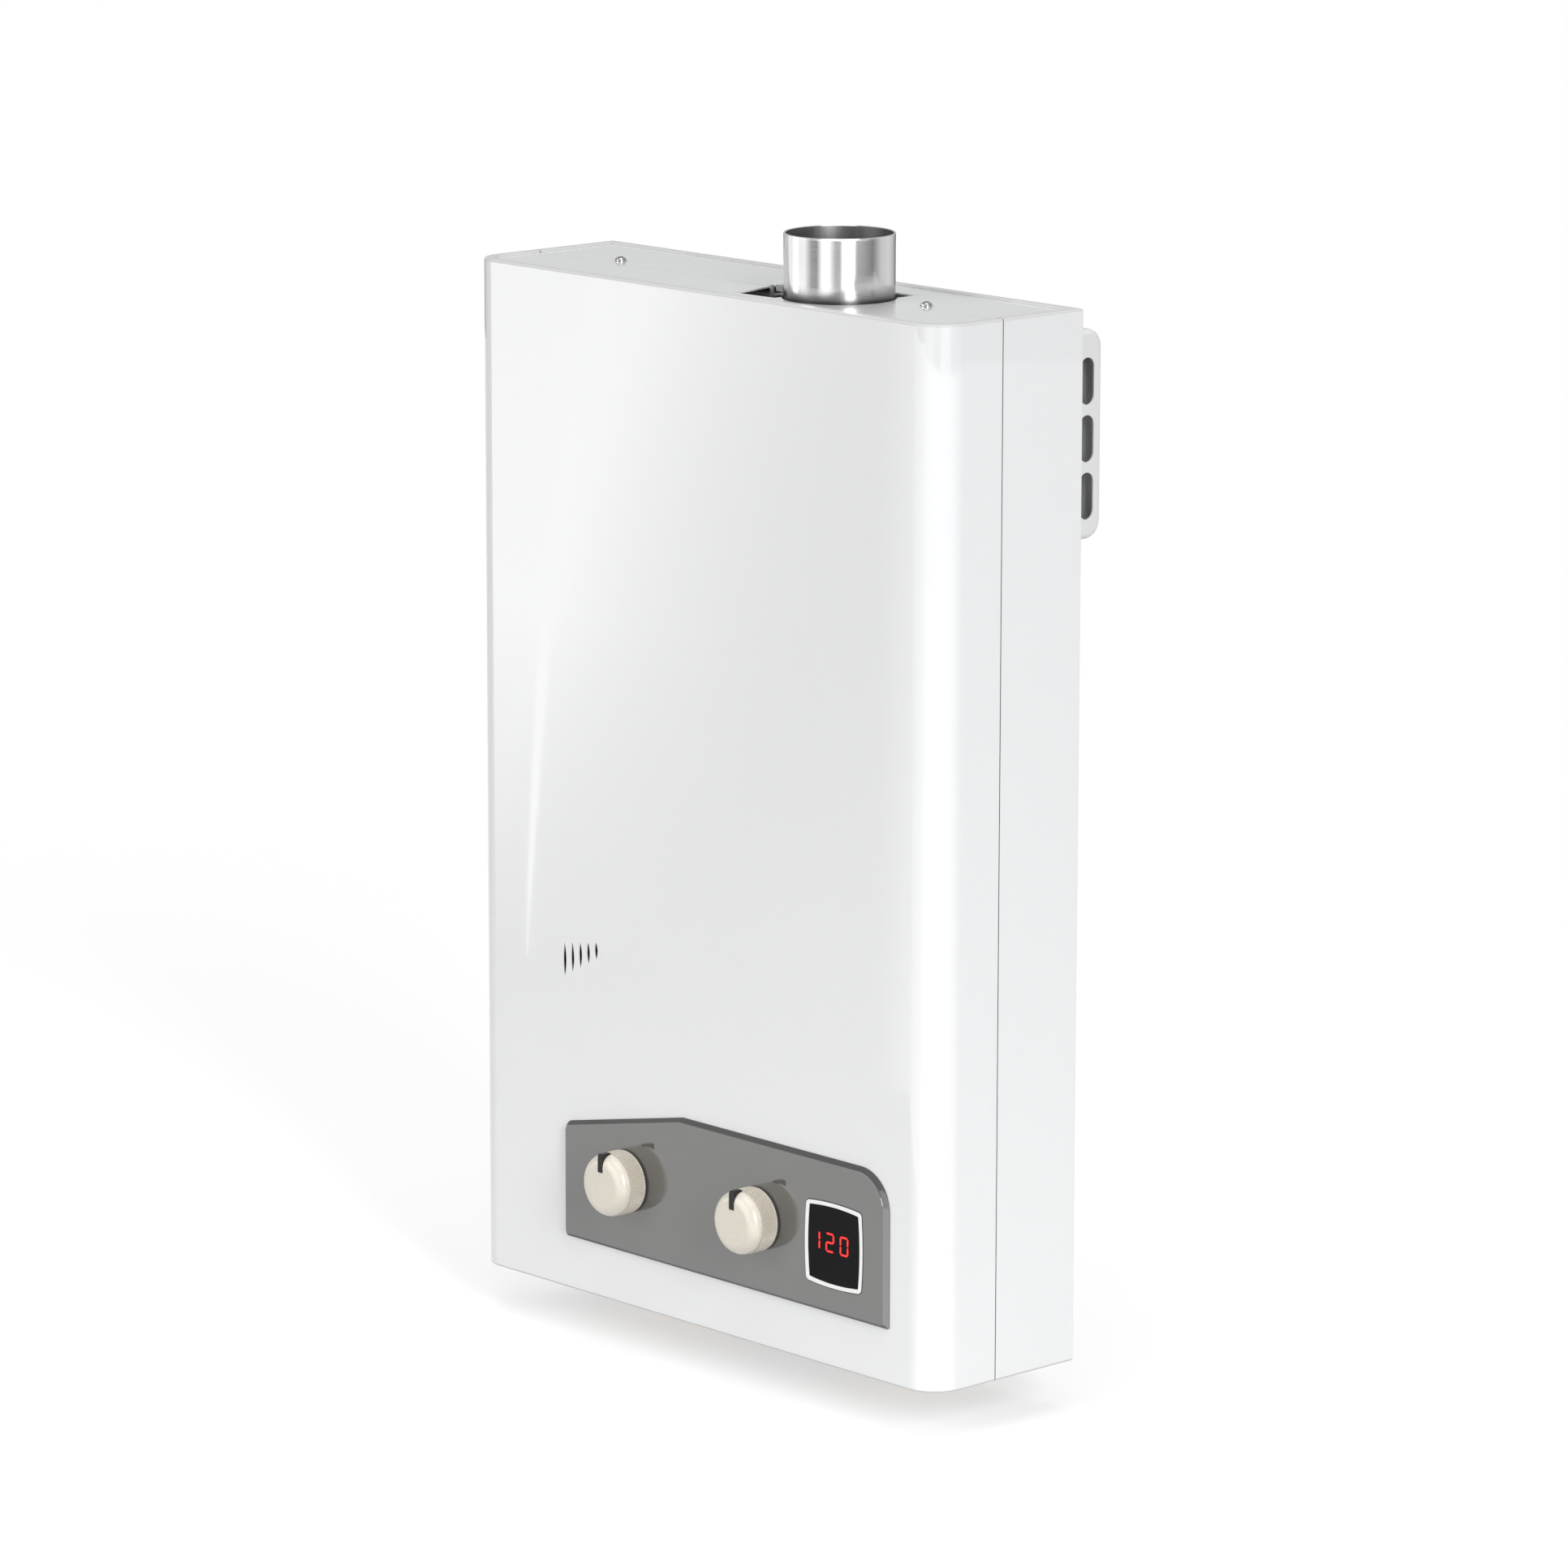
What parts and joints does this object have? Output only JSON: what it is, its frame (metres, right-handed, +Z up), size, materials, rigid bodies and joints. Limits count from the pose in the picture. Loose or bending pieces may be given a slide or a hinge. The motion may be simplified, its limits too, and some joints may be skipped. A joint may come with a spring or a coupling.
{
  "type": "tankless water heater",
  "caption": "Wall-hung propane tankless water heater: slim white casing with a flue collar on top, a grey panel with two knobs and a lit display, and pipe stubs below.",
  "frame": {"origin": "on the wall plane, midway between the centres of the two hanging holes", "axes": "+Z up, +Y into the wall, +X to the right as seen by someone who faces the front"},
  "size_m": [0.3682, 0.1484, 0.6254],
  "materials": {
    "white_enamel": "gloss",
    "light_enamel": "gloss",
    "zinc_steel": "satin",
    "stainless_steel": "gloss",
    "grey_panel": "satin",
    "white_plastic": "gloss",
    "black_window": "gloss",
    "red_digits": "gloss",
    "circuit_board": "matte",
    "cream_plastic": "satin",
    "black_plastic": "matte",
    "brass": "satin",
    "cast_aluminium": "matte",
    "dark_metal": "satin",
    "rubber": "matte",
    "copper": "satin"
  },
  "bodies": {
    "casing": {"rear_chassis": "white_enamel", "chassis_top_plate": "light_enamel", "chassis_bottom_plate": "light_enamel", "front_cover": "white_enamel", "cover_top_plate": "light_enamel", "cover_bottom_plate": "light_enamel", "rear_hanger": "white_enamel", "lower_wall_tab": "white_enamel", "casing_screws": "zinc_steel", "control_panel": "grey_panel", "display_frame": "white_plastic", "display_window": "black_window", "display_digits": "red_digits", "display_module": "circuit_board", "gas_valve_body": "cast_aluminium", "gas_solenoid": "dark_metal", "water_valve_body": "brass", "valve_bonnets": "brass", "diaphragm": "rubber", "diaphragm_cover": "brass", "link_spring": "zinc_steel", "microswitch": "black_plastic", "cold_inlet_fitting": "brass", "hot_outlet_fitting": "brass", "gas_inlet_fitting": "brass", "power_gland": "black_plastic", "cold_elbow_pipe": "copper", "cold_riser_pipe": "copper", "exchanger_coil": "copper", "exchanger_chamber": "copper", "fin_block": "copper", "fin_tube": "copper", "hot_pipe": "copper", "gas_pipe": "zinc_steel", "gas_manifold": "zinc_steel", "injectors": "brass", "burner_bars": "stainless_steel", "burner_tray": "zinc_steel", "inner_brackets": "zinc_steel", "electrodes": "white_plastic", "flue_hood": "zinc_steel", "fan_housing": "zinc_steel", "fan_motor": "dark_metal", "flue_gasket": "rubber", "flue_collar": "stainless_steel", "collar_tab": "zinc_steel", "control_box": "black_plastic", "pressure_switch": "white_plastic", "thermostat": "black_plastic"},
    "gas_knob": {"gas_knob": "cream_plastic", "gas_knob_pointer": "black_plastic", "gas_spindle": "brass"},
    "water_knob": {"water_knob": "cream_plastic", "water_knob_pointer": "black_plastic", "water_spindle": "brass"},
    "fan": {"fan_wheel": "zinc_steel", "motor_shaft": "zinc_steel"},
    "rod": {"link_rod": "zinc_steel"},
    "lever": {"switch_lever": "zinc_steel"},
    "plunger": {"solenoid_plunger": "zinc_steel"}
  },
  "joints": [
    {"name": "gas_knob_turn", "type": "hinge", "parent": "casing", "child": "gas_knob", "pos_m": [-0.0542, -0.1303, -0.4254], "axis": [0, 1, 0], "range_deg": [-135, 135]},
    {"name": "water_knob_turn", "type": "hinge", "parent": "casing", "child": "water_knob", "pos_m": [0.0516, -0.1303, -0.4254], "axis": [0, 1, 0], "range_deg": [-135, 135]},
    {"name": "fan_spin", "type": "hinge", "parent": "casing", "child": "fan", "pos_m": [0.04, -0.082, -0.0048], "axis": [0, 1, 0], "continuous": true},
    {"name": "rod_slide", "type": "slide", "parent": "casing", "child": "rod", "axis": [-1, 0, 0], "range_m": [0, 0.004], "stiffness_N_per_m": 300, "springref_m": -0.004, "deforming": ["link_spring"]},
    {"name": "lever_tip", "type": "hinge", "parent": "casing", "child": "lever", "pos_m": [-0.008, -0.06, -0.4108], "axis": [0, 1, 0], "range_deg": [0, 22.1]},
    {"name": "plunger_lift", "type": "slide", "parent": "casing", "child": "plunger", "axis": [0, 0, 1], "range_m": [0, 0.002], "stiffness_N_per_m": 200, "springref_m": -0.002}
  ],
  "couplings": [
    {"joint": "lever_tip", "follows": "rod_slide", "rad_per_m": 96}
  ]
}
